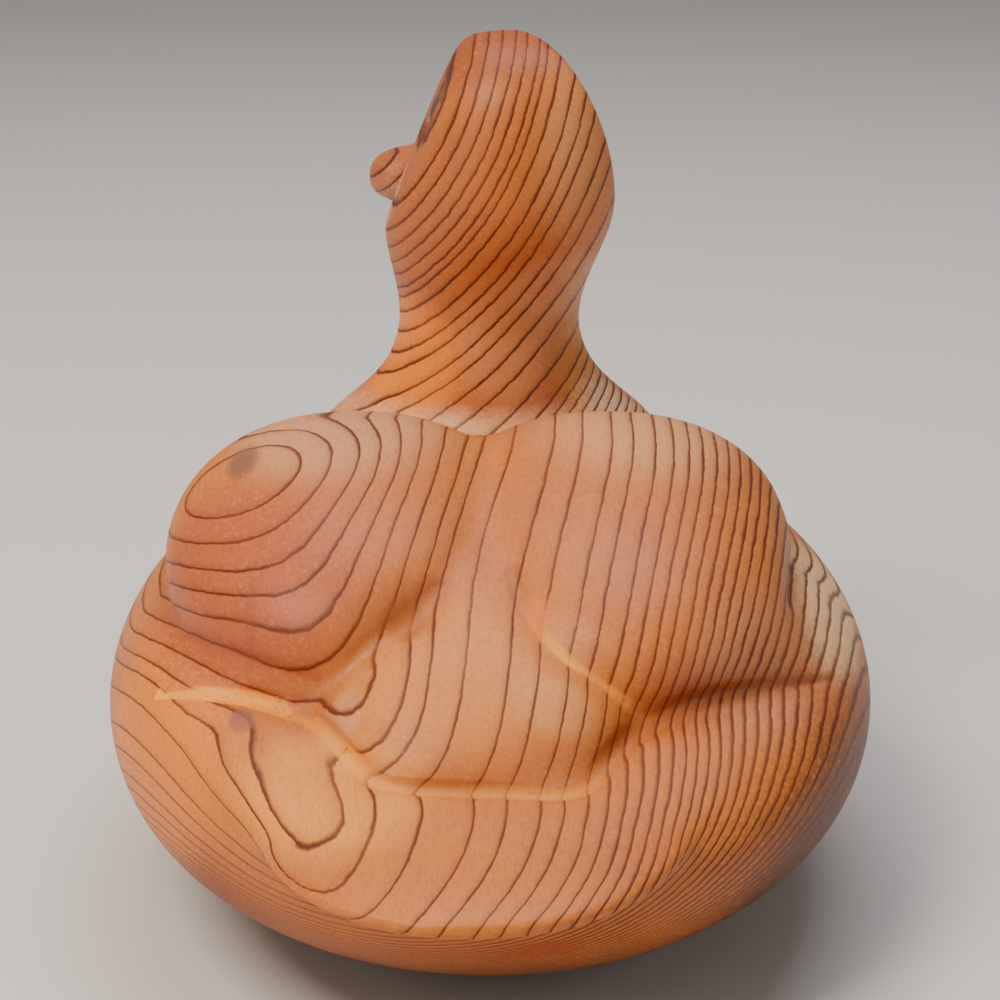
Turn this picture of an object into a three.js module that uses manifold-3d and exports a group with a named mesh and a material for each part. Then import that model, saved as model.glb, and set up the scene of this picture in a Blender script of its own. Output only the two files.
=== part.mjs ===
// Duck decoy carved from two blocks of softwood, with two small glass eyes.
// Millimetres. X to the duck's right, Y towards the breast, Z up, origin on the ground under the hull.

import * as THREE from "three";
import { mergeVertices } from "three/addons/utils/BufferGeometryUtils.js";
import Module from "manifold-3d";

const wasm = await Module();
wasm.setup();

// Each rounded mass reaches [side, front, back, above, below] from its centre.
const HULL = { centre: [0.1, 5, 39], reach: [75.6, 120, 117.5, 38.8, 40.7], power: 2.07 };
const TAIL = { centre: [-2.4, -79, 43.7], reach: [39, 53, 53, 5, 6.5], power: 2.14, pitch: 3 };
const MANTLE = { centre: [-0.2, -14.2, 42], reach: [71, 39, 57.6, 35.7, 42], power: 2.41 };
const RUMP = { centre: [-2.5, -49.6, 43.6], reach: [35.3, 46, 45.8, 28.7, 29.5], power: 2.41, pitch: 22.9 };
const LEFT_WING = {
  centre: [-26.9, -1.5, 62.5],
  reach: [37.4, 36.9, 63.9, 28.7, 39.8],
  power: 2.18,
  pitch: 3.9,
};
const RIGHT_WING = {
  centre: [23.4, -5.7, 67.5],
  reach: [35.2, 37.5, 64.1, 21.8, 31],
  power: 2.26,
  pitch: 10.3,
};
const DECK = { y: -85, z: 50.15, slope: 12.6 };

// How softly neighbouring masses run into each other. The deck and the mantle are softer towards the right.
const DECK_SOFT = { left: 4, right: 12, from: -10, to: 30 };
const MANTLE_SOFT = { left: 3, right: 9, from: 20, to: 50 };
const TAIL_SOFT = 3;
const WING_SOFT = 5;
const EDGE_SOFT = 2;
const MANTLE_FADE = 12;
const RUMP_FADE = 12;
const HULL_FADE = 16;
const FADE_FROM = 0;
const FADE_TO = 60;

// Carved folds, point by point with how deep each is there: under the wings from flank to flank,
// both sides of the rump, and under the left wing. Their sides rise to nothing this far out.
const FOLD_REACH = 10;
const WAIST_FOLD = [
  [-60.2, -53.6, 53.8, 0.2],
  [-52.4, -58.6, 55.9, 0.9],
  [-41.2, -62.8, 56, 1.2],
  [-30.4, -71.6, 54.6, 1.4],
  [-17.3, -88.7, 49.8, 1.5],
  [14.9, -90, 49.3, 1.6],
  [26.8, -72.3, 53.4, 2.1],
  [37.7, -66.1, 56.4, 2.1],
  [52.1, -56, 55.8, 1.4],
  [64.2, -43.1, 52.7, 0.2],
];
const LEFT_RUMP_FOLD = [
  [-28.6, -67.1, 59.4, 0.8],
  [-20.9, -63.5, 66.8, 2.1],
  [-13.8, -59.1, 70.5, 2.6],
  [-8.9, -52.5, 73.8, 0.9],
];
const RIGHT_RUMP_FOLD = [
  [4, -47.9, 75.2, 0.6],
  [7, -57.9, 71, 2],
  [12.7, -65.5, 66.4, 2.2],
  [25.1, -69.5, 57.4, 0.8],
];
const LEFT_WING_FOLD = [
  [-59.7, -38.6, 61.8, 0.5],
  [-57.3, -44.1, 61.2, 1],
  [-44.9, -58.8, 62, 1.2],
  [-30.7, -65.6, 59.6, 1],
];

// The head block. Skull, cheeks and bill are measured from the neck's axis, with Y along the bill.
const NECK_Y = 62;
const HEAD_TURN = 13.5;
const SKULL = { centre: [3.5, -2.4, 134.2], reach: [21.5, 32.5, 27.8, 25.7, 23.7], power: 2.4, pitch: -8.2 };
const CHEEK = { centre: [0.4, -0.4, 121.2], reach: [22.9, 27, 27, 19, 21.9], power: 2 };
const BILL_ROOT = { centre: [0, 30, 122.5], reach: [10.4, 18, 18, 9.5, 9], power: 2.3, pitch: -10 };
const BILL_TIP = { centre: [-2.4, 46, 121.2], reach: [14.1, 15.5, 20, 7.3, 6.1], power: 2.6, pitch: -6 };
const COLUMN = { centre: [-0.4, 64.6, 84], reach: [20, 23.5, 23.5, 52, 52], power: 2 };
const FLARE = { centre: [-0.4, 66.5, 61.4], reach: [40.8, 33, 28, 27.2, 22], power: 2 };
const FACE = { middle: 0.5, half: 22, level: 122, lean: 23, taper: 12.5 };
const CHEEK_SOFT = 8;
const FACE_SOFT = 3;
const BILL_SOFT = 7;
const BILL_ROOT_SOFT = 6;
const COLUMN_SOFT = 10;
const FLARE_SOFT = 12;
const NECK_SOFT = 8;

// The flat neck seat falls towards the breast, and a fine glue line stays open above it.
const SEAT = { y: 30, z: 78.9, slope: -6.5 };
const SEAT_BACK = 36;
const NAPE = 95;
const GLUE_LINE = 0.3;
const SPARE = 9;
const BLOCK = 400;

// Glass eyes, each a button in a shallow round socket on its face of the head.
const EYE_FORWARD = 6;
const EYE_LEVEL = 143.5;
const EYE_RADIUS = 4.5;
const EYE_DEPTH = 2.1;
const SOCKET_RADIUS = 5.6;
const SOCKET_DEPTH = 2.5;

// Rings of each skin: where they start, where the spine aims, how far the rays lean, how flat they fan
// and how far the sideways ones are swept back.
const BODY_AROUND = 58;
const BODY_SPINE = [
  { row: 0, at: [-2, -112, 42], aim: 0, tilt: 180, flat: 0.3 },
  { row: 7, at: [-2, -112, 42], aim: 0, tilt: 90, flat: 0.3 },
  { row: 15, at: [-2, -90, 43], aim: 12, tilt: 90, flat: 0.8, sweep: 0.1 },
  { row: 34, at: [-1, -42, 41], aim: 42, tilt: 90, flat: 1, sweep: 0.6 },
  { row: 40, at: [0, -8, 41], aim: 25, tilt: 90, flat: 1, sweep: 0.4 },
  { row: 44, at: [0, 24, 41], aim: 0, tilt: 90, flat: 1 },
  { row: 48, at: [0, 50, 42], aim: 0, tilt: 90, flat: 1 },
  { row: 56, at: [0, 50, 42], aim: 0, tilt: 0, flat: 1 },
];
const HEAD_AROUND = 34;
const HEAD_SPINE = [
  { row: 0, at: [0, 0, 72], aim: 90, tilt: 180, flat: 1 },
  { row: 2, at: [0, 0, 72], aim: 90, tilt: 90, flat: 1 },
  { row: 8, at: [0, 0, 100], aim: 90, tilt: 90, flat: 1 },
  { row: 12, at: [0, -7, 113], aim: 70, tilt: 90, flat: 1 },
  { row: 17, at: [0, 0, 130], aim: 45, tilt: 90, flat: 1 },
  { row: 22, at: [0, 17, 133], aim: 22, tilt: 90, flat: 1 },
  { row: 26, at: [0, 30, 122], aim: 0, tilt: 90, flat: 1 },
  { row: 32, at: [-2, 49, 120.5], aim: 0, tilt: 90, flat: 0.6 },
  { row: 38, at: [-2, 49, 120.5], aim: 0, tilt: 0, flat: 0.6 },
];

// More rays near the top line than the keel, and the longest reach any of them needs.
const TOP_CROWDING = 0.4;
const FAR = 110;

const rad = THREE.MathUtils.degToRad;

// Distance to the skin of one rounded mass, below zero inside it.
function mass(p, { centre, reach, power, pitch = 0 }) {
  const c = Math.cos(rad(pitch));
  const s = Math.sin(rad(pitch));
  const dy = p.y - centre[1];
  const dz = p.z - centre[2];
  const y = dy * c + dz * s;
  const z = dz * c - dy * s;
  const ry = y > 0 ? reach[1] : reach[2];
  const rz = z > 0 ? reach[3] : reach[4];
  const u = Math.abs(p.x - centre[0]) / reach[0];
  const v = Math.abs(y) / ry;
  const w = Math.abs(z) / rz;
  const total = u ** power + v ** power + w ** power + 1e-12;
  const size = total ** (1 / power);
  const steep = Math.hypot(u ** (power - 1) / reach[0], v ** (power - 1) / ry, w ** (power - 1) / rz);
  return ((size - 1) * total) / (steep * size + 1e-9);
}

// Union of two masses with a fillet about k wide between them.
function join(a, b, k) {
  const h = THREE.MathUtils.clamp(0.5 + (0.5 * (b - a)) / k, 0, 1);
  return b + (a - b) * h - k * h * (1 - h);
}

// What two masses have in common, with an edge rounded about k wide.
function trim(a, b, k) {
  return -join(-a, -b, k);
}

// Height above a plane that climbs towards the breast, or falls when its slope is below zero.
function above(p, plane) {
  return (p.z - plane.z) * Math.cos(rad(plane.slope)) - (p.y - plane.y) * Math.sin(rad(plane.slope));
}

// A value that changes evenly from one side of the duck to the other.
function across(p, { left, right, from, to }) {
  return left + (right - left) * THREE.MathUtils.smoothstep(p.x, from, to);
}

// How deep a fold is carved at a point near its path.
function fold(p, path) {
  let deepest = 0;
  for (let i = 1; i < path.length; i += 1) {
    const [ax, ay, az, ad] = path[i - 1];
    const [bx, by, bz, bd] = path[i];
    const run = (bx - ax) ** 2 + (by - ay) ** 2 + (bz - az) ** 2;
    const along = (p.x - ax) * (bx - ax) + (p.y - ay) * (by - ay) + (p.z - az) * (bz - az);
    const t = THREE.MathUtils.clamp(along / run, 0, 1);
    const away = Math.hypot(p.x - ax - t * (bx - ax), p.y - ay - t * (by - ay), p.z - az - t * (bz - az));
    const near = Math.max(0, 1 - away / FOLD_REACH);
    deepest = Math.max(deepest, (ad + (bd - ad) * t) * near * near);
  }
  return deepest;
}

function folds(p) {
  return fold(p, WAIST_FOLD) + fold(p, LEFT_RUMP_FOLD) + fold(p, RIGHT_RUMP_FOLD) + fold(p, LEFT_WING_FOLD);
}

// Hull and tail below, folded wings, mantle and rump above, crisp behind and melting together in front.
function bodyForm(p) {
  const fade = THREE.MathUtils.smoothstep(p.y, FADE_FROM, FADE_TO);
  const hull = trim(mass(p, HULL), above(p, DECK), across(p, DECK_SOFT));
  const low = join(hull, mass(p, TAIL), TAIL_SOFT);
  const wings = join(mass(p, LEFT_WING), mass(p, RIGHT_WING), WING_SOFT);
  const shoulders = join(wings, mass(p, MANTLE), across(p, MANTLE_SOFT) + MANTLE_FADE * fade);
  const back = join(shoulders, mass(p, RUMP), EDGE_SOFT + RUMP_FADE * fade);
  const whole = join(low, back, EDGE_SOFT + HULL_FADE * fade);
  return Math.max(whole + folds(p), -p.z);
}

// The same point as the turned head sees it.
function toHead(p) {
  const c = Math.cos(rad(HEAD_TURN));
  const s = Math.sin(rad(HEAD_TURN));
  const y = p.y - NECK_Y;
  return { x: c * p.x + s * y, y: c * y - s * p.x, z: p.z };
}

// Outward direction of the flat face on one side of the head.
function faceNormal(side) {
  const flat = Math.cos(rad(FACE.lean));
  const x = side * flat * Math.cos(rad(FACE.taper));
  return new THREE.Vector3(x, flat * Math.sin(rad(FACE.taper)), Math.sin(rad(FACE.lean)));
}

function face(q, side) {
  const n = faceNormal(side);
  return (q.x - FACE.middle - side * FACE.half) * n.x + q.y * n.y + (q.z - FACE.level) * n.z;
}

// Skull and cheeks with two flat faces, the bill, the neck and its flare.
function headForm(p) {
  const q = toHead(p);
  const skull = join(mass(q, SKULL), mass(q, CHEEK), CHEEK_SOFT);
  const faced = trim(skull, Math.max(face(q, -1), face(q, 1)), FACE_SOFT);
  const bill = join(mass(q, BILL_ROOT), mass(q, BILL_TIP), BILL_SOFT);
  const billed = join(faced, bill, BILL_ROOT_SOFT);
  const necked = join(billed, mass(p, COLUMN), COLUMN_SOFT);
  return join(necked, mass(p, FLARE), FLARE_SOFT);
}

function duckForm(p) {
  return join(bodyForm(p), headForm(p), NECK_SOFT);
}

// The duck without its head, ending a little above the neck seat.
function stubForm(p) {
  return Math.max(duckForm(p), above(p, SEAT) - SPARE);
}

// Head and neck alone, seen from the turned head, ending a little below and behind the neck seat.
function neckForm(q) {
  const c = Math.cos(rad(HEAD_TURN));
  const s = Math.sin(rad(HEAD_TURN));
  const p = { x: c * q.x - s * q.y, y: s * q.x + c * q.y + NECK_Y, z: q.z };
  const behind = Math.min(SEAT_BACK - p.y, NAPE - p.z);
  return Math.max(duckForm(p), -above(p, SEAT) - SPARE, behind);
}

// First point on the skin of a form along a ray that starts inside it.
function castOut(form, from, ray) {
  const at = (t) => from.clone().addScaledVector(ray, t);
  let high = 1;
  while (high < FAR && form(at(high)) < 0) {
    high += 1;
  }
  let low = high - 1;
  for (let i = 0; i < 20; i += 1) {
    const middle = (low + high) / 2;
    if (form(at(middle)) < 0) {
      low = middle;
    } else {
      high = middle;
    }
  }
  return at(low);
}

// Everything about one ring, read off between the stops of a spine.
function ringAt(spine, row) {
  const next = Math.max(1, spine.findIndex((stop) => stop.row >= row));
  const a = spine[next - 1];
  const b = spine[next];
  const share = (row - a.row) / (b.row - a.row);
  return {
    from: new THREE.Vector3(...a.at).lerp(new THREE.Vector3(...b.at), share),
    aim: rad(THREE.MathUtils.lerp(a.aim, b.aim, share)),
    tilt: rad(THREE.MathUtils.lerp(a.tilt, b.tilt, share)),
    flat: THREE.MathUtils.lerp(a.flat, b.flat, share),
    sweep: THREE.MathUtils.lerp(a.sweep ?? 0, b.sweep ?? 0, share),
  };
}

// Split every square of the rings along its shorter diagonal, so creases stay clean.
function shorterDiagonals(shape, rings, around) {
  const spots = shape.attributes.position;
  const spot = (i) => new THREE.Vector3().fromBufferAttribute(spots, i);
  const index = [];
  for (let row = 0; row < rings; row += 1) {
    for (let col = 0; col < around; col += 1) {
      const b = row * (around + 1) + col;
      const a = b + 1;
      const c = b + around + 1;
      const d = c + 1;
      if (row === 0) {
        index.push(b, c, d);
      } else if (row === rings - 1) {
        index.push(a, b, d);
      } else if (spot(a).distanceTo(spot(c)) < spot(b).distanceTo(spot(d))) {
        index.push(a, b, c, a, c, d);
      } else {
        index.push(a, b, d, b, c, d);
      }
    }
  }
  shape.setIndex(index);
}

// A sphere whose rings ride along a spine, with each point moved out to the skin of the form.
function skin(form, spine, around) {
  const rings = spine[spine.length - 1].row;
  const shape = new THREE.SphereGeometry(1, around, rings);
  const spots = shape.attributes.position;
  for (let row = 0; row <= rings; row += 1) {
    const { from, aim, tilt, flat, sweep } = ringAt(spine, row);
    for (let col = 0; col <= around; col += 1) {
      const even = (2 * Math.PI * (col % around)) / around;
      const turn = even + TOP_CROWDING * Math.cos(even);
      const wide = Math.cos(turn) * Math.sin(tilt);
      const high = Math.sin(turn) * Math.sin(tilt) * flat;
      const ahead = Math.cos(tilt);
      const y = ahead * Math.cos(aim) - high * Math.sin(aim) - sweep * wide * wide;
      const z = ahead * Math.sin(aim) + high * Math.cos(aim);
      const hit = castOut(form, from, new THREE.Vector3(wide, y, z).normalize());
      spots.setXYZ(row * (around + 1) + col, hit.x, hit.y, hit.z);
    }
  }
  shorterDiagonals(shape, rings, around);
  return shape;
}

function toSolid(shape) {
  shape.deleteAttribute("normal");
  shape.deleteAttribute("uv");
  const welded = mergeVertices(shape, 1e-4);
  const mesh = new wasm.Mesh({
    numProp: 3,
    vertProperties: new Float32Array(welded.attributes.position.array),
    triVerts: new Uint32Array(welded.index.array),
  });
  return new wasm.Manifold(mesh);
}

function toShape(solid) {
  const mesh = solid.getMesh();
  const shape = new THREE.BufferGeometry();
  shape.setAttribute("position", new THREE.BufferAttribute(mesh.vertProperties, 3));
  shape.setIndex(new THREE.BufferAttribute(mesh.triVerts, 1));
  shape.computeVertexNormals();
  return shape;
}

// All the room over the neck seat in front of a given y.
function overSeat(back, lift) {
  const room = new THREE.BoxGeometry(BLOCK, BLOCK, BLOCK);
  room.translate(0, BLOCK / 2 + back - SEAT.y, BLOCK / 2 + lift);
  room.rotateX(rad(SEAT.slope));
  room.translate(0, SEAT.y, SEAT.z);
  return toSolid(room);
}

// A lens lying on one face of the head, in the room's frame.
function eyeLens(side, radius, depth) {
  const n = faceNormal(side);
  const down = (EYE_FORWARD * n.y + (EYE_LEVEL - FACE.level) * n.z) / n.x;
  const lens = new THREE.SphereGeometry(radius, 16, 8);
  lens.scale(1, depth / radius, 1);
  lens.applyQuaternion(new THREE.Quaternion().setFromUnitVectors(new THREE.Vector3(0, 1, 0), n));
  lens.translate(FACE.middle + side * FACE.half - down, EYE_FORWARD, EYE_LEVEL);
  lens.rotateZ(rad(HEAD_TURN));
  lens.translate(0, NECK_Y, 0);
  return lens;
}

function bodyShape() {
  const stub = toSolid(skin(stubForm, BODY_SPINE, BODY_AROUND));
  return toShape(stub.subtract(overSeat(SEAT_BACK - 0.5, 0)));
}

function headShape() {
  const shape = skin(neckForm, HEAD_SPINE, HEAD_AROUND);
  shape.rotateZ(rad(HEAD_TURN));
  shape.translate(0, NECK_Y, 0);
  let head = toSolid(shape).intersect(overSeat(-BLOCK / 2, GLUE_LINE));
  for (const side of [-1, 1]) {
    head = head.subtract(toSolid(eyeLens(side, SOCKET_RADIUS, SOCKET_DEPTH)));
  }
  return toShape(head);
}

function bodyWood() {
  return new THREE.MeshStandardMaterial({ name: "bodyWood", color: 0xb8703f, roughness: 0.5, metalness: 0 });
}

function headWood() {
  return new THREE.MeshStandardMaterial({ name: "headWood", color: 0xae6235, roughness: 0.5, metalness: 0 });
}

function eyeGlass() {
  return new THREE.MeshStandardMaterial({ name: "eyeGlass", color: 0x3d2c12, roughness: 0.1, metalness: 0 });
}

function piece(name, shape, material) {
  const mesh = new THREE.Mesh(shape, material);
  mesh.name = name;
  return mesh;
}

const glass = eyeGlass();
const group = new THREE.Group();
group.name = "duck_decoy";
group.add(piece("body", bodyShape(), bodyWood()));
group.add(piece("head", headShape(), headWood()));
group.add(piece("eye_left", eyeLens(-1, EYE_RADIUS, EYE_DEPTH), glass));
group.add(piece("eye_right", eyeLens(1, EYE_RADIUS, EYE_DEPTH), glass));

export default group;
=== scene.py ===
import math

import bmesh
import bpy
import numpy as np
from mathutils import Matrix, Vector


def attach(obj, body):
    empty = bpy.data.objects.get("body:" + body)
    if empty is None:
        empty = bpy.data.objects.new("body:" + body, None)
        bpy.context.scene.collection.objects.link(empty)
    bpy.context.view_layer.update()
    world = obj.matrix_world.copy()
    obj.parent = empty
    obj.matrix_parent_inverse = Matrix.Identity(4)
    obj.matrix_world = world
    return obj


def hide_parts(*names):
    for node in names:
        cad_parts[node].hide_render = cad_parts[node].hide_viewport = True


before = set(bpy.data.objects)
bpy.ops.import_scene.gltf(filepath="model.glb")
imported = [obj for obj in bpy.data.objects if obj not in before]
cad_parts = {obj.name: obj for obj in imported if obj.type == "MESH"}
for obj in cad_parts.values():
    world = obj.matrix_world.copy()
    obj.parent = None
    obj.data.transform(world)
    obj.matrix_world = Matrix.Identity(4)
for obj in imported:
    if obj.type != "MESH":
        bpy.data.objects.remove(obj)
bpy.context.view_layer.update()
mm = 0.001
detail = 1.0

studio = {
    "target": (2, 0, 75), "distance": 600, "elevation": 16, "lens": 109.1, "sensor": 36, "nearest": 0.01,
    "floorSize": 4, "floorColour": "#d9d6d1", "floorRoughness": 0.9,
    "worldColour": "#e4e6ea", "worldStrength": 0.24,
    # place and aim in metres, size, watts, colour
    "lamps": {
        "key": ((-0.55, -0.5, 1.1), (0, -0.02, 0.06), (0.6, 0.6), 17.0, "#fff3e4"),
        "top": ((0.1, 0.35, 1.2), (0, 0.02, 0.08), (0.9, 0.6), 9.0, "#f6f7ff"),
        "side": ((0.9, -0.6, 0.45), (0, 0.03, 0.1), (0.6, 0.6), 2.0, "#fff0e0"),
        "fill": ((-0.9, -0.5, 0.35), (0, -0.02, 0.06), (0.6, 0.6), 2.5, "#ffe6cc"),
    },
}


def toLinear(colour, alpha=1.0):
    parts = [int(colour[i:i + 2], 16) / 255 for i in (1, 3, 5)]
    return tuple(p / 12.92 if p <= 0.04045 else ((p + 0.055) / 1.055) ** 2.4 for p in parts) + (alpha,)


# Adds one node. A link from a node stands for its first output.
def addNode(tree, kind, links=None, **settings):
    added = tree.nodes.new("ShaderNode" + kind)
    for name, value in settings.items():
        setattr(added, name, value)
    for socket, value in (links or {}).items():
        if isinstance(value, bpy.types.Node):
            value = value.outputs[0]
        if isinstance(value, bpy.types.NodeSocket):
            tree.links.new(value, added.inputs[socket])
        else:
            added.inputs[socket].default_value = value
    return added


def newMaterial(name):
    material = bpy.data.materials.new(name)
    material.use_nodes = True
    material.node_tree.nodes.clear()
    return material, material.node_tree


def aimAt(thing, spot, target):
    thing.location = spot
    thing.rotation_euler = (Vector(target) - Vector(spot)).to_track_quat("-Z", "Y").to_euler()


def addLamp(name, spot, target, size, power, colour):
    lamp = bpy.data.lights.new(name, "AREA")
    lamp.shape = "RECTANGLE"
    lamp.size, lamp.size_y = size
    lamp.energy = power
    lamp.color = toLinear(colour)[:3]
    holder = bpy.data.objects.new(name, lamp)
    bpy.context.scene.collection.objects.link(holder)
    aimAt(holder, spot, target)


def buildStudio():
    print("camera, floor and lamps")
    target = Vector(studio["target"]) * mm
    lift = math.radians(studio["elevation"])
    spot = target + Vector((0, -math.cos(lift), math.sin(lift))) * studio["distance"] * mm
    camera = bpy.data.cameras.new("camera")
    camera.lens = studio["lens"]
    camera.sensor_width = studio["sensor"]
    camera.clip_start = studio["nearest"]
    holder = bpy.data.objects.new("camera", camera)
    bpy.context.scene.collection.objects.link(holder)
    aimAt(holder, spot, target)
    bpy.context.scene.camera = holder

    shape = bmesh.new()
    bmesh.ops.create_grid(shape, x_segments=1, y_segments=1, size=studio["floorSize"])
    mesh = bpy.data.meshes.new("floor")
    shape.to_mesh(mesh)
    shape.free()
    floor = bpy.data.objects.new("floor", mesh)
    bpy.context.scene.collection.objects.link(floor)
    material, tree = newMaterial("matt studio paper")
    paper = addNode(tree, "BsdfPrincipled",
                    {"Base Color": toLinear(studio["floorColour"]), "Roughness": studio["floorRoughness"]})
    addNode(tree, "OutputMaterial", {"Surface": paper})
    mesh.materials.append(material)

    world = bpy.data.worlds.new("soft room")
    world.use_nodes = True
    world.node_tree.nodes.clear()
    sky = addNode(world.node_tree, "Background",
                  {"Color": toLinear(studio["worldColour"]), "Strength": studio["worldStrength"]})
    addNode(world.node_tree, "OutputWorld", {"Surface": sky})
    bpy.context.scene.world = world

    for name, settings in studio["lamps"].items():
        addLamp(name, *settings)


# Distance in mm from an egg-like mass, below nought inside it.
def mass(p, centre, reach, power, pitch=0.0):
    c, s = math.cos(math.radians(pitch)), math.sin(math.radians(pitch))
    dy, dz = p[:, 1] - centre[1], p[:, 2] - centre[2]
    y, z = dy * c + dz * s, dz * c - dy * s
    side, front, back, high, low = reach
    ry, rz = np.where(y > 0, front, back), np.where(z > 0, high, low)
    u, v, w = np.abs(p[:, 0] - centre[0]) / side, np.abs(y) / ry, np.abs(z) / rz
    total = u ** power + v ** power + w ** power + 1e-12
    size = total ** (1 / power)
    k = power - 1
    steep = np.sqrt((u ** k / side) ** 2 + (v ** k / ry) ** 2 + (w ** k / rz) ** 2)
    return (size - 1) * total / (steep * size + 1e-9)


# Two forms run together over a soft edge, and one form cut back by another.
def join(a, b, soft):
    h = np.clip(0.5 + 0.5 * (b - a) / soft, 0, 1)
    return b + (a - b) * h - soft * h * (1 - h)


def trim(a, b, soft):
    return -join(-a, -b, soft)


def ramp(value, low, high):
    t = np.clip((value - low) / (high - low), 0, 1)
    return t * t * (3 - 2 * t)


# Height over a plane that slopes along the duck: a point's y and z, and the slope in degrees.
def above(p, plane):
    y, z, slope = plane
    tilt = math.radians(slope)
    return (p[:, 2] - z) * math.cos(tilt) - (p[:, 1] - y) * math.sin(tilt)


# Every mass: centre, then how far it reaches sideways, forwards, backwards, up and down, all in mm.
bodyCarving = {
    "hull": ((0.1, 5, 39), (75.6, 120, 117.5, 38.8, 40.7), 2.07),
    "tail": ((-2.4, -79, 43.7), (39, 53, 53, 5, 6.5), 2.14, 3),
    "mantle": ((-0.2, -14.2, 42), (71, 39, 57.6, 35.7, 42), 2.41),
    "rump": ((-2.5, -49.6, 43.6), (35.3, 46, 45.8, 28.7, 29.5), 2.41, 22.9),
    "leftWing": ((-26.9, -1.5, 62.5), (37.4, 36.9, 63.9, 28.7, 39.8), 2.18, 3.9),
    "rightWing": ((23.4, -5.7, 67.5), (35.2, 37.5, 64.1, 21.8, 31), 2.26, 10.3),
    "deck": (-85, 50.15, 12.6), "deckSoft": (4, 12, -10, 30), "mantleSoft": (3, 9, 20, 50),
    "tailSoft": 3, "wingSoft": 5, "edgeSoft": 2,
    "fade": (0, 60), "mantleFade": 12, "rumpFade": 12, "hullFade": 16,
}
# Knife work in the folds, point by point: x, y, z, depth and half width of the knife's cut, depth of the dip
# round it, how much fresh wood, painted bright also as light on its upturned wall, and how much painted shade lies
# there.
foldWork = {
    "hollowReach": 10, "cutReach": 5, "cutPower": 1.3, "paintReach": 8,
    # waist, left and right fold between wing and rump, rim of the left lobe, under the left and the right wing
    "paths": [
        [(-60.2, -53.6, 53.8, 0.5, 1.9, 0.2, 1, 0), (-52.4, -58.6, 55.9, 1.4, 2.6, 0.6, 1, 0.1),
         (-41.2, -62.8, 56, 1.5, 2.4, 0.8, 1, 0.1), (-30.4, -71.6, 54.6, 1.5, 2.1, 1, 0.5, 0.5),
         (-25.1, -80.4, 52.7, 1.5, 2.1, 1, 0.9, 0.4), (-17.3, -88.7, 49.8, 1.4, 2.2, 1, 0.3, 0.7),
         (2.3, -90.9, 49.5, 1.2, 2.2, 1, 0.35, 0.5), (14.9, -90, 49.3, 1.3, 2.3, 1.1, 0.45, 0.5),
         (21.6, -80.5, 51.8, 1.8, 2.6, 1.4, 0, 0.7), (26.8, -72.3, 53.4, 1.8, 2.8, 1.6, 0, 0.9),
         (37.7, -66.1, 56.4, 1.8, 2.7, 1.6, 0, 1), (52.1, -56, 55.8, 1.4, 2.1, 1, 0, 0.9),
         (64.2, -43.1, 52.7, 0.3, 1.3, 0.2, 0, 0.5)],
        [(-28.6, -67.1, 59.4, 0.3, 1.8, 0.9, 0, 0.5), (-20.9, -63.5, 66.8, 0.6, 2.4, 2.2, 0, 0.8),
         (-13.8, -59.1, 70.5, 0.7, 3, 2.7, 0, 1), (-8.9, -52.5, 73.8, 0.2, 2, 1.1, 0, 0.9)],
        [(4, -47.9, 75.2, 0.5, 1.6, 0.6, 0, 0.6), (7, -57.9, 71, 1.1, 2.1, 1.9, 0, 0.6),
         (12.7, -65.5, 66.4, 1.2, 2, 2, 0.9, 0.2), (19.7, -68.9, 61.9, 1, 1.4, 1.5, 0.9, 0),
         (25.1, -69.5, 57.4, 0.5, 1.6, 0.8, 0.3, 0)],
        [(-59.7, -38.6, 61.8, 1, 2, 1.6, 0, 0.6), (-57.3, -44.1, 61.2, 0.9, 2, 1.6, 0, 0.6),
         (-44.9, -58.8, 62, 0.4, 2.4, 1.4, 0, 0.3), (-30.7, -65.6, 59.6, 0.3, 2, 1, 0, 0.3)],
        [(-60, -37, 62, 1, 2, 0.4, 0, 0.6), (-62, -28, 62, 1.5, 2.4, 2, 0, 0.8),
         (-64, -14, 61.5, 1.4, 2.4, 2.6, 0, 0.8),
         (-64, 2, 60.5, 0.3, 3, 1.9, 0, 0.4), (-60, 18, 63, 0.1, 3, 1, 0, 0.2), (-50, 28, 68, 0, 2, 0.1, 0, 0)],
        [(54, -42, 63.5, 0, 2, 0.6, 0, 0.3), (57, -32, 65.5, 0.9, 2.6, 2.2, 0, 0.5),
         (58, -18, 66, 1, 2.6, 2.6, 0, 0.5),
         (59, -4, 64, 0.3, 3, 1.9, 0, 0.4), (56, 12, 66, 0.1, 3, 1, 0, 0.2), (48, 24, 69, 0, 2, 0.1, 0, 0)],
    ],
}


# Catmull-Rom points between the stations of a path.
def smoothPath(stations, steps=5):
    rows = np.array(stations, float)
    rows = np.vstack([2 * rows[0] - rows[1], rows, 2 * rows[-1] - rows[-2]])
    t = (np.arange(steps) / steps)[:, None]
    runs = [0.5 * (2 * b + (c - a) * t + (2 * a - 5 * b + 4 * c - d) * t ** 2 + (3 * b - a - 3 * c + d) * t ** 3)
            for a, b, c, d in zip(rows, rows[1:], rows[2:], rows[3:])]
    return np.vstack(runs + [rows[-2:-1]])


foldPaths = [smoothPath(stations) for stations in foldWork["paths"]]


# Distance to a path, what its table says at the nearest point, and the height over that point.
def alongPath(p, path):
    nearest, rise = np.full(len(p), 1e9), np.zeros(len(p))
    said = np.zeros((len(p), path.shape[1] - 3))
    for a, b in zip(path, path[1:]):
        run = b[:3] - a[:3]
        t = np.clip((p - a[:3]) @ run / (run @ run), 0, 1)
        away = np.linalg.norm(p - a[:3] - t[:, None] * run, axis=1)
        closer = away < nearest
        nearest[closer] = away[closer]
        said[closer] = a[3:] + (b[3:] - a[3:]) * t[closer, None]
        rise[closer] = (p[:, 2] - a[2] - t * run[2])[closer]
    return nearest, said, rise


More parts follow.
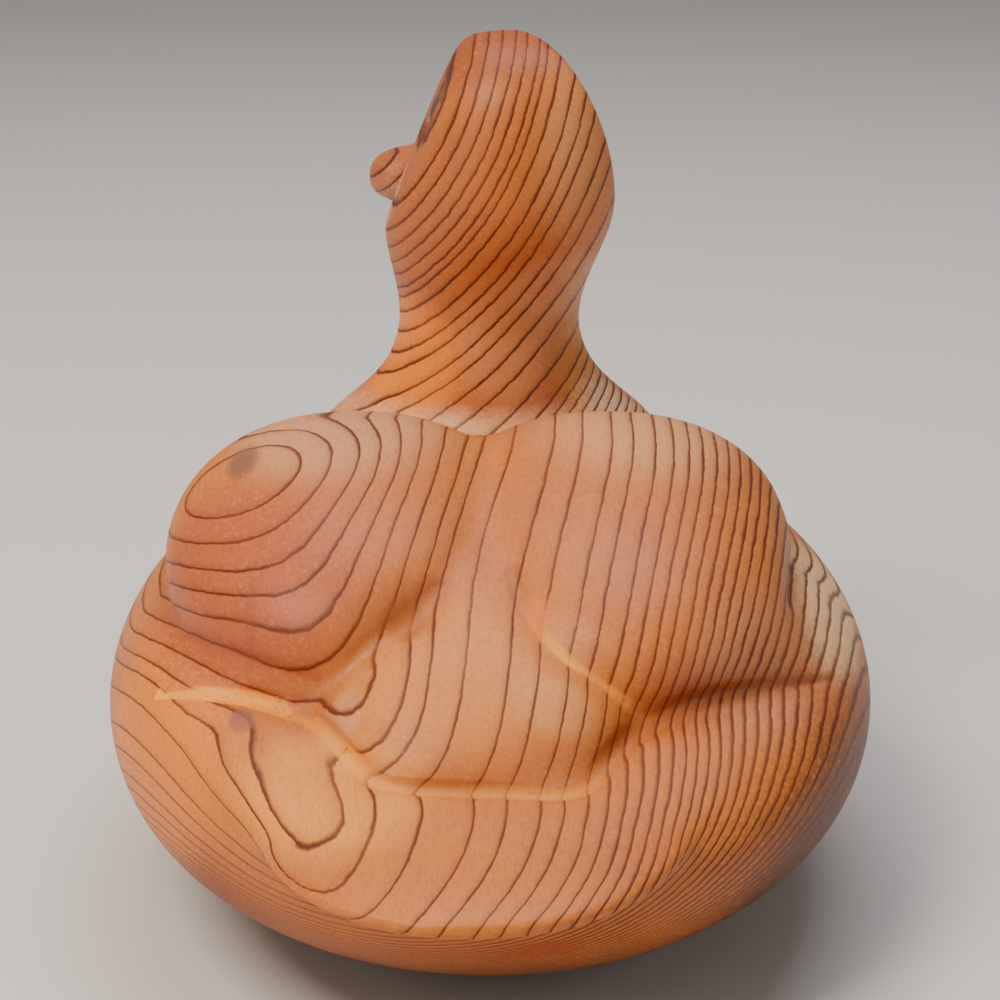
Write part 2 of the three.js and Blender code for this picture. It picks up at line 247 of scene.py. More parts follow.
# Which points lie within reach of a path's box, so that only those are measured.
def nearFold(p, path, reach):
    low, high = path[:, :3].min(0) - reach, path[:, :3].max(0) + reach
    return np.flatnonzero(((p > low) & (p < high)).all(1))


def hollows(p):
    depth = np.zeros(len(p))
    reach = foldWork["hollowReach"]
    for path in foldPaths:
        close = nearFold(p, path, reach)
        away, said, rise = alongPath(p[close], path)
        depth[close] += said[:, 2] * np.clip(1 - away / reach, 0, 1) ** 2
    return depth


def foldDistance(p):
    nearest = np.full(len(p), 1e9)
    for path in foldPaths:
        close = nearFold(p, path, foldWork["hollowReach"])
        nearest[close] = np.minimum(nearest[close], alongPath(p[close], path)[0])
    return nearest


def knifeCuts(p):
    depth = np.zeros(len(p))
    for path in foldPaths:
        close = nearFold(p, path, foldWork["cutReach"])
        away, said, rise = alongPath(p[close], path)
        cut = np.maximum(said[:, 0], 0) * np.clip(1 - away / said[:, 1], 0, 1) ** foldWork["cutPower"]
        depth[close] = np.maximum(depth[close], cut)
    return depth


# A value that changes evenly from the duck's left to its right.
def across(p, change):
    left, right, start, end = change
    return left + (right - left) * ramp(p[:, 0], start, end)


def bodyForm(p):
    cut = bodyCarving
    fade = ramp(p[:, 1], *cut["fade"])
    hull = trim(mass(p, *cut["hull"]), above(p, cut["deck"]), across(p, cut["deckSoft"]))
    low = join(hull, mass(p, *cut["tail"]), cut["tailSoft"])
    wings = join(mass(p, *cut["leftWing"]), mass(p, *cut["rightWing"]), cut["wingSoft"])
    shoulders = join(wings, mass(p, *cut["mantle"]), across(p, cut["mantleSoft"]) + cut["mantleFade"] * fade)
    back = join(shoulders, mass(p, *cut["rump"]), cut["edgeSoft"] + cut["rumpFade"] * fade)
    whole = join(low, back, cut["edgeSoft"] + cut["hullFade"] * fade)
    return np.maximum(whole + hollows(p), -p[:, 2])


# Skull, cheeks, faces and bill are measured from the neck's axis with y along the bill, the rest in the room.
headCarving = {
    "neckY": 62, "turn": 13.5,
    "skull": ((3.5, -2.4, 134.2), (21.5, 32.5, 27.8, 25.7, 23.7), 2.4, -8.2),
    "cheek": ((0.4, -0.4, 121.2), (22.9, 27, 27, 19, 21.9), 2), "cheekSoft": 8,
    "face": {"middle": 0.5, "half": 22, "level": 122, "lean": 23, "taper": 12.5}, "faceSoft": 2,
    "billRoot": ((0, 30, 122.5), (10.4, 18, 18, 9.5, 9), 2.3, -10),
    "billTip": ((-2.4, 46, 121.2), (14.1, 15.5, 20, 7.3, 6.1), 2.6, -6), "billSoft": 7, "rootSoft": 6,
    "column": ((-0.4, 64.6, 84), (20, 23.5, 23.5, 52, 52), 2), "columnSoft": 10,
    "flare": ((-0.4, 66.5, 61.4), (40.8, 33, 28, 27.2, 22), 2), "flareSoft": 12, "neckSoft": 8,
    "seat": (30, 78.9, -6.5), "seatBack": 36, "seatStep": 0.5, "nape": 95, "glueLine": 0.3, "spare": 9,
}


def turnPoints(p):
    angle = math.radians(headCarving["turn"])
    c, s = math.cos(angle), math.sin(angle)
    y = p[:, 1] - headCarving["neckY"]
    return np.stack([c * p[:, 0] + s * y, c * y - s * p[:, 0], p[:, 2]], 1)


def faceNormal(side):
    face = headCarving["face"]
    lean, taper = math.radians(face["lean"]), math.radians(face["taper"])
    return Vector((side * math.cos(lean) * math.cos(taper), math.cos(lean) * math.sin(taper), math.sin(lean)))


def headForm(p):
    cut = headCarving
    q = turnPoints(p)
    skull = join(mass(q, *cut["skull"]), mass(q, *cut["cheek"]), cut["cheekSoft"])
    faces = None
    for side in (-1, 1):
        n = faceNormal(side)
        corner = (cut["face"]["middle"] + side * cut["face"]["half"], 0, cut["face"]["level"])
        flat = (q[:, 0] - corner[0]) * n.x + q[:, 1] * n.y + (q[:, 2] - corner[2]) * n.z
        faces = flat if faces is None else np.maximum(faces, flat)
    faced = trim(skull, faces, cut["faceSoft"])
    bill = join(mass(q, *cut["billRoot"]), mass(q, *cut["billTip"]), cut["billSoft"])
    necked = join(join(faced, bill, cut["rootSoft"]), mass(p, *cut["column"]), cut["columnSoft"])
    return join(necked, mass(p, *cut["flare"]), cut["flareSoft"])


def duckForm(p):
    return join(bodyForm(p), headForm(p), headCarving["neckSoft"])


# The body with spare wood over the neck seat, and the neck with spare wood under it, both cut off later.
def stubForm(p):
    return np.maximum(duckForm(p), above(p, headCarving["seat"]) - headCarving["spare"])


def neckForm(p):
    behind = np.minimum(headCarving["seatBack"] - p[:, 1], headCarving["nape"] - p[:, 2])
    under = -above(p, headCarving["seat"]) - headCarving["spare"]
    return np.maximum(duckForm(p), np.maximum(under, behind))


# Stops along each spine: row, start point, aim, lean of the rays, how flat they fan, and how far the
# sideways ones are swept back. Then the size of the even mesh, and how close to a fold it is split.
bodySkin = {
    "around": 116, "evenSize": 1.36, "splitWithin": (6, 3), "sharpAngle": 70,
    "spine": [
        (0, (-2, -112, 42), 0, 180, 0.3, 0), (14, (-2, -112, 42), 0, 90, 0.3, 0),
        (30, (-2, -90, 43), 12, 90, 0.8, 0.1), (68, (-1, -42, 41), 42, 90, 1, 0.6),
        (80, (0, -8, 41), 25, 90, 1, 0.4), (88, (0, 24, 41), 0, 90, 1, 0),
        (96, (0, 50, 42), 0, 90, 1, 0), (112, (0, 50, 42), 0, 0, 1, 0),
    ],
}
headSkin = {
    "around": 68, "evenSize": 0.72, "splitWithin": (), "sharpAngle": 50,
    "spine": [
        (0, (0, 62, 72), 90, 180, 1, 0), (4, (0, 62, 72), 90, 90, 1, 0), (16, (0, 62, 100), 90, 90, 1, 0),
        (24, (1.6, 55.2, 113), 70, 90, 1, 0), (34, (0, 62, 130), 45, 90, 1, 0), (44, (-4, 78.5, 133), 22, 90, 1, 0),
        (52, (-7, 91.2, 122), 0, 90, 1, 0), (64, (-13.4, 109.2, 120.5), 0, 90, 0.6, 0),
        (76, (-13.4, 109.2, 120.5), 0, 0, 0.6, 0),
    ],
}


skinWork = {
    "walks": 200, "walkShare": 0.75, "shortestWalk": 0.25, "halvings": 12,
    "slopeStep": 0.05, "longestMove": 1.5, "flattest": 0.3,
    "raysOnTop": 0.4, "smoothings": (3, 2, 3), "splitRounds": 3, "paintRounds": 2,
}


# Each ray is walked out till it leaves the form, and the last step is halved down to the skin.
def castOut(form, starts, rays):
    near = np.zeros(len(starts))
    far = np.zeros(len(starts))
    going = np.arange(len(starts))
    for step in range(skinWork["walks"]):
        depth = form(starts[going] + rays[going] * far[going, None])
        inside = going[depth < 0]
        near[inside] = far[inside]
        far[inside] += np.maximum(-depth[depth < 0] * skinWork["walkShare"], skinWork["shortestWalk"])
        going = inside
        if len(going) == 0:
            break
    for step in range(skinWork["halvings"]):
        middle = (near + far) / 2
        within = form(starts + rays * middle[:, None]) < 0
        near = np.where(within, middle, near)
        far = np.where(within, far, middle)
    return starts + rays * near[:, None]


def slopeAt(form, p):
    step = skinWork["slopeStep"]
    return np.stack([form(p + nudge) - form(p - nudge) for nudge in np.eye(3) * step], 1) / (2 * step)


# Points moved straight onto the skin of a form.
def settled(form, p, rounds):
    longest = skinWork["longestMove"]
    for step in range(rounds):
        slope = slopeAt(form, p)
        move = np.clip(form(p), -longest, longest) / np.maximum((slope ** 2).sum(1), skinWork["flattest"])
        p = p - slope * move[:, None]
    return p


def spotsOf(shape):
    return np.array([vert.co for vert in shape.verts])


def moveSpots(shape, spots):
    for vert, spot in zip(shape.verts, spots):
        vert.co = spot


# A rough ball blown out to the form, made even, and then laid exactly on it, finer beside the folds.
def layOn(form, skin):
    shape = bmesh.new()
    stops = skin["spine"]
    bmesh.ops.create_uvsphere(shape, u_segments=skin["around"], v_segments=stops[-1][0], radius=1)
    unit = spotsOf(shape)
    row = np.arccos(np.clip(-unit[:, 2], -1, 1)) / math.pi * stops[-1][0]
    at = [stop[0] for stop in stops]
    start = np.stack([np.interp(row, at, [stop[1][i] for stop in stops]) for i in range(3)], 1)
    aim, tilt = (np.radians(np.interp(row, at, [stop[k] for stop in stops])) for k in (2, 3))
    flat, sweep = (np.interp(row, at, [stop[k] for stop in stops]) for k in (4, 5))
    turn = np.arctan2(unit[:, 1], unit[:, 0])
    turn = turn + skinWork["raysOnTop"] * np.cos(turn)  # more rays near the top line than the keel
    wide, high, ahead = np.cos(turn) * np.sin(tilt), np.sin(turn) * np.sin(tilt) * flat, np.cos(tilt)
    rays = np.stack([wide, ahead * np.cos(aim) - high * np.sin(aim) - sweep * wide ** 2,
                     ahead * np.sin(aim) + high * np.cos(aim)], 1)
    moveSpots(shape, castOut(form, start, rays / np.linalg.norm(rays, axis=1, keepdims=True)))

    rough = toObject("rough", shape, None, 1)
    even = rough.modifiers.new("even", "REMESH")
    even.mode = "VOXEL"
    even.voxel_size = skin["evenSize"] / detail
    shape = bmesh.new()
    shape.from_object(rough, bpy.context.evaluated_depsgraph_get())
    bpy.data.objects.remove(rough)
    for rounds in skinWork["smoothings"]:
        bmesh.ops.smooth_vert(shape, verts=shape.verts, factor=0.5, use_axis_x=True, use_axis_y=True, use_axis_z=True)
        moveSpots(shape, settled(form, spotsOf(shape), rounds))
    for within in skin["splitWithin"][:None]:
        close = foldDistance(spotsOf(shape)) < within
        shape.verts.index_update()
        edges = [edge for edge in shape.edges if close[edge.verts[0].index] and close[edge.verts[1].index]]
        bmesh.ops.subdivide_edges(shape, edges=edges, cuts=1, use_grid_fill=True)
        moveSpots(shape, settled(form, spotsOf(shape), skinWork["splitRounds"]))
    return shape


def toObject(name, shape, material, scale=mm):
    bmesh.ops.scale(shape, vec=(scale, scale, scale), verts=shape.verts)
    mesh = bpy.data.meshes.new(name)
    shape.to_mesh(mesh)
    shape.free()
    mesh.shade_smooth()
    piece = bpy.data.objects.new(name, mesh)
    bpy.context.scene.collection.objects.link(piece)
    if material:
        mesh.materials.append(material)
    return piece


# Cuts a piece with a closed shape, which is used up.
def applyCut(piece, cutter, operation):
    modifier = piece.modifiers.new("cut", "BOOLEAN")
    modifier.object = cutter
    modifier.operation = operation
    modifier.solver = "MANIFOLD"
    cut = bpy.data.meshes.new_from_object(piece.evaluated_get(bpy.context.evaluated_depsgraph_get()))
    piece.modifiers.clear()
    old = piece.data
    cut.name = old.name
    piece.data = cut
    bpy.data.meshes.remove(old)
    bpy.data.objects.remove(cutter)


roomSize = 400


# All the room over the neck seat and in front of a point, lifted by the glue line for the head.
def overSeat(back, lift):
    y, z, slope = headCarving["seat"]
    room = bmesh.new()
    bmesh.ops.create_cube(room, size=roomSize)
    bmesh.ops.translate(room, vec=(0, roomSize / 2 + back - y, roomSize / 2 + lift), verts=room.verts)
    bmesh.ops.rotate(room, cent=(0, 0, 0), matrix=Matrix.Rotation(math.radians(slope), 3, "X"), verts=room.verts)
    bmesh.ops.translate(room, vec=(0, y, z), verts=room.verts)
    return toObject("room", room, None)


eyeButton = {"forward": 6, "level": 143.5, "radius": 4.5, "depth": 1.4, "sunk": 0.9, "rings": 28,
             "socketRadius": 5.6, "socketDepth": 2.5, "socketRings": 32}


# Where an eye's disc lies: its centre on the face of the head and its z straight out of it.
def eyePlace(side):
    face, n = headCarving["face"], faceNormal(side)
    down = (eyeButton["forward"] * n.y + (eyeButton["level"] - face["level"]) * n.z) / n.x
    spot = Vector((face["middle"] + side * face["half"] - down, eyeButton["forward"], eyeButton["level"]))
    turn = Matrix.Rotation(math.radians(headCarving["turn"]), 4, "Z")
    flat = n.to_track_quat("Z", "Y").to_matrix().to_4x4()
    return Matrix.Translation((0, headCarving["neckY"], 0)) @ turn @ Matrix.Translation(spot) @ flat


def lens(side, radius, depth, fine, sunk=0):
    shape = bmesh.new()
    bmesh.ops.create_uvsphere(shape, u_segments=fine * 2, v_segments=fine, radius=radius)
    bmesh.ops.scale(shape, vec=(1, 1, depth / radius), verts=shape.verts)
    bmesh.ops.translate(shape, vec=(0, 0, -sunk), verts=shape.verts)
    bmesh.ops.transform(shape, matrix=eyePlace(side), verts=shape.verts)
    return shape


# Growth rings run round a pith that lies along the duck. Widths are in mm, from the pith outwards.
bodyWoodLook = {
    "ringWidths": [10.5, 5.5, 5, 4, 4, 4, 4.5, 4.5, 3.5, 6.3, 8.7, 5.9, 6.3, 4.3, 4.5, 3.5, 3, 2.6, 2.6, 2.3,
                   2.1, 2, 1.9, 1.9, 1.9, 1.9],
    "outerWidth": 1.9, "outermost": 150,
    "early": "#c87236", "late": "#5a210d", "orange": "#d0762c", "pink": "#bc683f", "pale": "#e2a468",
    # the last two colours: knife-cut wood that also stands for light on its upturned wall, and painted shade in the
    # folds
    "freshAndLit": "#ffa22e", "foldShadeColour": "#7c300c",
}
headWoodLook = {
    "pith": (-77.7, 173.8), "core": 54.9,
    "ringWidths": [3, 3, 3, 3, 3, 3, 3.2, 2.7, 2.8, 2.7, 2.4, 2.7, 1.7, 2.8, 3.6, 3.1, 2.6, 3.9, 2.8, 4.1, 4.1,
                   5.1, 4.3, 2.5, 2.5, 2.3, 2.2, 2.2, 2.2, 2.1],
    "outerWidth": 2.1, "outermost": 200,
    "early": "#b86532", "late": "#531c08", "orange": "#c9702c", "pink": "#ab5834", "pale": "#d8986a",
}
# The body's block grew unevenly, so its rings are drawn in a bent space: terms of x, y, z over 60 mm.
bentSpace = {
    "centre": (0, -60, 60), "size": 60, "frontLimit": 5, "frontSoft": 0.25,
    "across": [50.493, (1.256, -0.013, -0.002), (-0.118, 0.126, -0.183), (0.03, -0.055, -0.253),
               (-0.163, -0.13, -0.072), (0.051, 0.062, -0.039), (0.19, -0.043, -0.031), -0.104],
    "upward": [-31.714, (0.034, -0.253, 0.933), (-0.03, 0.272, -0.742), (-0.036, -0.069, -0.001),
               (-0.034, -0.134, 0.142), (0.424, 0.266, 0.124), (0.048, 0.042, 1.579), 0.09],
    # places where a knot pushed the rings aside: centre, reach, and how far, in mm
    "swells": [((-34, -101, 45.5), (10, 11, 10), -2.6), ((-47, -70, 52), (7, 8, 8), 2.4),
               ((-43, -59, 69), (13, 12, 9), 2.6)],
}


# Place measured from a centre in shares of a reach, both in mm.
def shareOf(tree, place, centre, reach):
    return addNode(tree, "VectorMath", {0: place, 1: tuple(1000 / r for r in reach),
                                        2: tuple(-c / r for c, r in zip(centre, reach))}, operation="MULTIPLY_ADD")


# How far a place lies from the body block's pith, in mm of growth.
def bodyRings(tree, place):
    bent = bentSpace
    size = bent["size"]
    share = addNode(tree, "SeparateXYZ", {0: shareOf(tree, place, bent["centre"], (size,) * 3)})
    x, z = share.outputs[0], share.outputs[2]
    front = (bent["frontLimit"] - bent["centre"][1]) / size
    y = addNode(tree, "Math", {0: share.outputs[1], 1: front, 2: bent["frontSoft"]}, operation="SMOOTH_MIN")
    turned = [addNode(tree, "CombineXYZ", {0: a, 1: b, 2: c}) for a, b, c in ((x, y, z), (y, z, x), (z, x, y))]
    # the place, its squares, its pairs, its cubes, and squares times each other axis
    terms = [turned[0]]
    for term, axes in ((0, 0), (0, 1), (1, 0), (1, 1), (1, 2)):
        terms.append(addNode(tree, "VectorMath", {0: terms[term], 1: turned[axes]}, operation="MULTIPLY"))
    sideways = addNode(tree, "VectorMath", {0: terms[2], 1: (1, 0, 0)}, operation="DOT_PRODUCT").outputs["Value"]
    triple = addNode(tree, "Math", {0: sideways, 1: z}, operation="MULTIPLY")
    ends = []
    for line in (bent["across"], bent["upward"]):
        total = addNode(tree, "Math", {0: triple, 1: line[-1], 2: line[0] / size}, operation="MULTIPLY_ADD")
        for term, weights in zip(terms, line[1:-1]):
            part = addNode(tree, "VectorMath", {0: term, 1: weights}, operation="DOT_PRODUCT").outputs["Value"]
            total = addNode(tree, "Math", {0: total, 1: part}, operation="ADD")
        ends.append(total)
    flat = addNode(tree, "CombineXYZ", {0: ends[0], 1: ends[1]})
    length = addNode(tree, "VectorMath", {0: flat}, operation="LENGTH").outputs["Value"]
    radius = addNode(tree, "Math", {0: length, 1: size}, operation="MULTIPLY")
    for centre, reach, push in bent["swells"]:
        near = shareOf(tree, place, centre, reach)
        away = addNode(tree, "VectorMath", {0: near, 1: near}, operation="DOT_PRODUCT").outputs["Value"]
        back = addNode(tree, "Math", {0: away, 1: -1.0}, operation="MULTIPLY")
        bell = addNode(tree, "Math", {0: back}, operation="EXPONENT")
        radius = addNode(tree, "Math", {0: bell, 1: push, 2: radius}, operation="MULTIPLY_ADD")
    return radius


# The head's block is cut far from its pith, which lies beside and over it, so its rings are plain arcs.
def headRings(tree, place):
    x, z = headWoodLook["pith"]
    share = addNode(tree, "VectorMath", {0: place, 1: (1000, 0, 1000), 2: (-x, 0, -z)}, operation="MULTIPLY_ADD")
    length = addNode(tree, "VectorMath", {0: share}, operation="LENGTH").outputs["Value"]
    return addNode(tree, "Math", {0: length, 1: -headWoodLook["core"]}, operation="ADD")


# A float curve drawn through its points in straight runs.
def fillCurve(added, points):
    curve = added.mapping.curves[0]
    while len(curve.points) > 2:
        curve.points.remove(curve.points[1])
    for index, (x, y) in enumerate(points):
        if index < 2:
            curve.points[index].location = (x, y)
        else:
            curve.points.new(x, y)
    for point in curve.points:
        point.handle_type = "VECTOR"
    added.mapping.update()


# Grain that both blocks share. A mottle has its size across the fibres in mm, how many times longer it is
# along them, its noise detail and roughness, and where in the noise it starts. A span is where it takes hold.
grain = {
    "waves": (24, 3, 2.0, 0.5, 0.0), "wavesHeight": 1.0,
    "tremble": (2.6, 4, 4.0, 0.68, 3.1), "trembleHeight": 0.85,
    "lineMottle": (9, 2, 2.0, 0.5, 7.0), "lineSpan": (0.3, 0.7), "lineWidth": (0.42, 0.84), "lineCore": 0.08,
    "lineEnd": 0.26, "haloSpan": (2.0, 0.2), "haloStrength": 0.22,
    "strengthMottle": (14, 2, 2.0, 0.5, 41.0), "strengthSpan": (0.25, 0.7), "lineStrength": (0.76, 0.98),
    # real fibres and specks are finer than a render shows
    "fibre": (0.55, 22, 3.0, 0.65, 11.0), "fibreSpan": (0.42, 0.72), "fibreStrength": 0.2,
    "speck": (0.9, 1.6, 3.0, 0.7, 19.0), "speckSpan": (0.5, 0.78), "speckStrength": 0.3,
    "cloud": (34, 1.8, 3.0, 0.55, 23.0), "cloudSpan": (0.36, 0.66),
    "patch": (19, 2.2, 2.0, 0.5, 31.0), "patchSpan": (0.45, 0.75), "patchStrength": 0.6,
    # fresh wood with painted light on the cut's upturned wall, and painted shade in the folds
    "freshAndLitSpan": (0.25, 0.5), "freshAndLitStrength": 0.95, "foldShadeStrength": 0.7,
    "lineRelief": 0.5, "fibreRelief": 0.35, "speckRelief": 0.25, "bumpStrength": 0.5, "bumpHeight": 0.00012,
    "fibreWear": 0.5, "wearSpan": (0.5, 1.0), "roughness": (0.4, 0.58),
    "ior": 1.48, "shine": 0.28, "coat": 0.04, "coatRoughness": 0.3,
}
widestRing = 12.0  # mm, the whole height of the curve that holds the ring widths
dabEdge = {"ragged": 0.5, "span": (1.3, 0.75)}  # a dab fades out between these shares of its reach
soft = {"interpolation_type": "SMOOTHSTEP"}


# Lays a paint over a colour where a value runs through a span.
def tintOver(tree, under, value, span, strength, paint):
    share = addNode(tree, "MapRange", {0: value, 1: span[0], 2: span[1], 3: 0.0, 4: strength}, **soft)
    return addNode(tree, "Mix", {0: share, 6: under, 7: toLinear(paint)}, data_type="RGBA").outputs[2]


# A ragged spot of colour.
def dab(tree, place, colour, mark, speck):
    centre, reach, paint, strength = mark
    share = shareOf(tree, place, centre, reach)
    away = addNode(tree, "VectorMath", {0: share}, operation="LENGTH").outputs["Value"]
    ragged = addNode(tree, "Math", {0: speck, 1: dabEdge["ragged"], 2: away}, operation="MULTIPLY_ADD")
    return tintOver(tree, colour, ragged, dabEdge["span"], strength, paint)


# Oiled softwood, sanded with the grain: broad pale earlywood, thin dark latewood lines, a low satin shine.
def softwood(name, look, rings, marks, seed):
    material, tree = newMaterial(name)

    def mottle(name):
        size, long, fineness, rough, shift = grain[name]
        scaled = addNode(tree, "VectorMath", {0: place, 1: (1000 / size, 1000 / size / long, 1000 / size),
                                              2: (seed + shift, shift, seed)}, operation="MULTIPLY_ADD")
        return addNode(tree, "TexNoise", {"Vector": scaled, "Scale": 1.0, "Detail": fineness, "Roughness": rough})

    place = addNode(tree, "TexCoord").outputs["Object"]
    # rings wander a little: broad waves and a fine tremble along each line
    radius = rings(tree, place)
    for wobble in ("waves", "tremble"):
        centred = addNode(tree, "Math", {0: mottle(wobble), 1: 0.5}, operation="SUBTRACT")
        radius = addNode(tree, "Math", {0: centred, 1: grain[wobble + "Height"], 2: radius},
                         operation="MULTIPLY_ADD")

    widths = list(look["ringWidths"])
    while sum(widths) < look["outermost"]:
        widths.append(look["outerWidth"])
    total, spots, ringSizes = 0.0, [(0.0, 0.0)], [(0.0, widths[0] / widestRing)]
    for index, width in enumerate(widths):
        ringSizes.append(((total + width / 2) / sum(widths), width / widestRing))
        total += width
        spots.append((total / sum(widths), (index + 1) / len(widths)))
    share = addNode(tree, "Math", {0: radius, 1: total}, operation="DIVIDE")
    counter = addNode(tree, "FloatCurve", {"Value": share})
    fillCurve(counter, spots)
    sizer = addNode(tree, "FloatCurve", {"Value": share})
    fillCurve(sizer, ringSizes)
    year = addNode(tree, "Math", {0: counter, 1: float(len(widths))}, operation="MULTIPLY")
    grown = addNode(tree, "Math", {0: year}, operation="FRACT")
    growing = addNode(tree, "Math", {0: 1.0, 1: grown}, operation="SUBTRACT")
    width = addNode(tree, "Math", {0: sizer, 1: widestRing}, operation="MULTIPLY")

    # a dark line swells towards the end of each year and breaks off short at the next
    toLine = addNode(tree, "Math", {0: growing, 1: width}, operation="MULTIPLY")
    pastLine = addNode(tree, "Math", {0: grown, 1: width}, operation="MULTIPLY")
    (low, high), (thin, thick) = grain["lineSpan"], grain["lineWidth"]
    lineWidth = addNode(tree, "MapRange", {0: mottle("lineMottle"), 1: low, 2: high, 3: thin, 4: thick}, **soft)
    before = addNode(tree, "MapRange", {0: toLine, 1: grain["lineCore"], 2: lineWidth, 3: 1.0, 4: 0.0}, **soft)
    after = addNode(tree, "MapRange", {0: pastLine, 1: 0.0, 2: grain["lineEnd"], 3: 1.0, 4: 0.0}, **soft)
    line = addNode(tree, "Math", {0: before, 1: after}, operation="MAXIMUM")
    (low, high), (faint, strong) = grain["strengthSpan"], grain["lineStrength"]
    lineStrength = addNode(tree, "MapRange", {0: mottle("strengthMottle"), 1: low, 2: high, 3: faint, 4: strong},
                           **soft)

    fibre, speck = mottle("fibre"), mottle("speck")
    colour = tintOver(tree, toLinear(look["early"]), mottle("cloud"), grain["cloudSpan"], 1.0, look["orange"])
    colour = tintOver(tree, colour, mottle("patch"), grain["patchSpan"], grain["patchStrength"], look["pink"])
    for mark in marks["under"]:
        colour = dab(tree, place, colour, mark, speck)
    colour = tintOver(tree, colour, toLine, grain["haloSpan"], grain["haloStrength"], look["late"])
    colour = tintOver(tree, colour, fibre, grain["fibreSpan"], grain["fibreStrength"], look["late"])
    colour = tintOver(tree, colour, speck, grain["speckSpan"], grain["speckStrength"], look["pale"])
    layers = [(line, lineStrength, "late")]
    # fresh-cut wood painted bright, also as light on the cut's upturned wall, and painted shade in the folds
    if "freshAndLit" in look:
        low, high = grain["freshAndLitSpan"]
        whole = addNode(tree, "MapRange", {0: speck, 1: low, 2: high}, **soft)
        cut = addNode(tree, "Attribute", attribute_name="freshAndLit").outputs["Fac"]
        flecked = addNode(tree, "Math", {0: cut, 1: whole}, operation="MULTIPLY")
        foldShade = addNode(tree, "Attribute", attribute_name="foldShade").outputs["Fac"]
        layers += [(flecked, grain["freshAndLitStrength"], "freshAndLit"), (foldShade, grain["foldShadeStrength"], "foldShadeColour")]
    for value, strength, paint in layers:
        share = addNode(tree, "Math", {0: value, 1: strength}, operation="MULTIPLY")
        colour = addNode(tree, "Mix", {0: share, 6: colour, 7: toLinear(look[paint])}, data_type="RGBA").outputs[2]
    for mark in marks["over"]:
        colour = dab(tree, place, colour, mark, speck)

    relief = addNode(tree, "Math", {0: line, 1: grain["lineRelief"]}, operation="MULTIPLY")
    for value, height in ((fibre, grain["fibreRelief"]), (speck, grain["speckRelief"])):
        relief = addNode(tree, "Math", {0: value, 1: height, 2: relief}, operation="MULTIPLY_ADD")
    bump = addNode(tree, "Bump", {"Height": relief, "Strength": grain["bumpStrength"],
                                  "Distance": grain["bumpHeight"]})
    worn = addNode(tree, "Math", {0: fibre, 1: grain["fibreWear"], 2: speck}, operation="MULTIPLY_ADD")
    (low, high), (smooth, rough) = grain["wearSpan"], grain["roughness"]
    roughness = addNode(tree, "MapRange", {0: worn, 1: low, 2: high, 3: smooth, 4: rough}, **soft)
    wood = addNode(tree, "BsdfPrincipled", {"Base Color": colour, "Roughness": roughness, "Normal": bump,
                                            "IOR": grain["ior"], "Specular IOR Level": grain["shine"],
                                            "Coat Weight": grain["coat"], "Coat Roughness": grain["coatRoughness"]})
    addNode(tree, "OutputMaterial", {"Surface": wood})
    return material


# Stains and painted light and shade under the growth rings, and marks and painted shade over them: centre and reach
# in mm, colour, strength.
bodyMarks = {
    "under": [
        ((0, 0, 2), (115, 155, 32), "#422b1f", 0.9),  # belly, painted dark as shade under the duck
        ((66, -48, 20), (46, 78, 34), "#45220f", 0.92),  # painted shade, high up the right flank
        ((-58, -62, 22), (34, 56, 24), "#9c4210", 0.8),  # low on the left flank
        ((-62, -62, 46), (24, 42, 26), "#e6832f", 0.9),  # left flank, more orange
        ((-44, -40, 70), (32, 40, 22), "#b75a34", 0.9),  # left wing, redder round its pith
        ((-32, 0, 94), (34, 44, 13), "#d5986e", 0.75),  # tops of both wings, painted pale as sheen
        ((36, 0, 94), (36, 44, 13), "#d99c6a", 0.75),
        ((64, -28, 70), (13, 40, 22), "#bc8058", 0.7),  # side and end of the right wing
        ((50, -60, 62), (16, 26, 16), "#c4845c", 0.6),
        ((66, -14, 58), (13, 42, 12), "#fcc890", 0.92),  # flank behind the right wing, painted pale as light on its upward face
        ((-28, -94, 50), (22, 26, 10), "#f49c40", 0.75),  # tail, left half
        ((-5, -70, 64), (28, 26, 15), "#e08e44", 0.6),  # rump, and painted highlights on two swells of it
        ((12, -77, 60), (9, 8, 9), "#df9658", 0.6),
        ((-27, -75, 58), (6, 7, 8), "#dca070", 0.6),
    ],
    "over": [
        ((-47.8, -12.7, 86.3), (5, 11, 3.6), "#7c4f3c", 0.6),  # pith on the left wing, and its heart
        ((-47.8, -12.7, 86.3), (3.4, 8, 2.6), "#7a5744", 0.6),
        ((-43, -58, 68), (1.5, 14, 13), "#8a4638", 0.3),  # streak down from it to the knot
        ((-44, -68.5, 54), (3, 5.5, 3), "#93594c", 0.8),  # knot under the fold
        ((-15, -59.5, 69.8), (5, 6, 5.5), "#a2541a", 0.65),  # painted shade in the left fold
        ((8.6, -58.5, 70.3), (2.6, 7.5, 6), "#e2731c", 0.75),  # bright wood in the right fold
        ((9.1, -107, 26.8), (8, 8, 3), "#a8412c", 0.5),  # red smudge under the tail
    ],
}
headMarks = {
    "under": [
        ((-26, 72, 134), (9, 26, 26), "#f2d2b8", 0.85),  # left face, painted pale as sheen
        ((16, 55, 135), (12, 30, 26), "#e09a60", 0.8),  # right side of the head
        ((-3, 58, 158), (26, 32, 11), "#a44e1e", 0.7),  # crown
        # the neck's orange here is painted lighter, as light where the body shades the neck
        ((-19, 50, 92), (19, 30, 16), "#f48a20", 0.9),  # neck, orange on the left
        ((3, 42, 98), (13, 26, 17), "#dc9058", 0.8),  # middle of the neck
        ((0, 55, 76), (50, 50, 9), "#f4b684", 0.8),  # foot of the neck
        ((22, 60, 96), (14, 30, 20), "#d48c34", 0.65),  # neck, right
        ((14, 46, 109), (14, 30, 10), "#d8a478", 0.5),
        ((32, 46, 84), (16, 24, 9), "#f6d2ae", 0.8),
    ],
    "over": [],
}

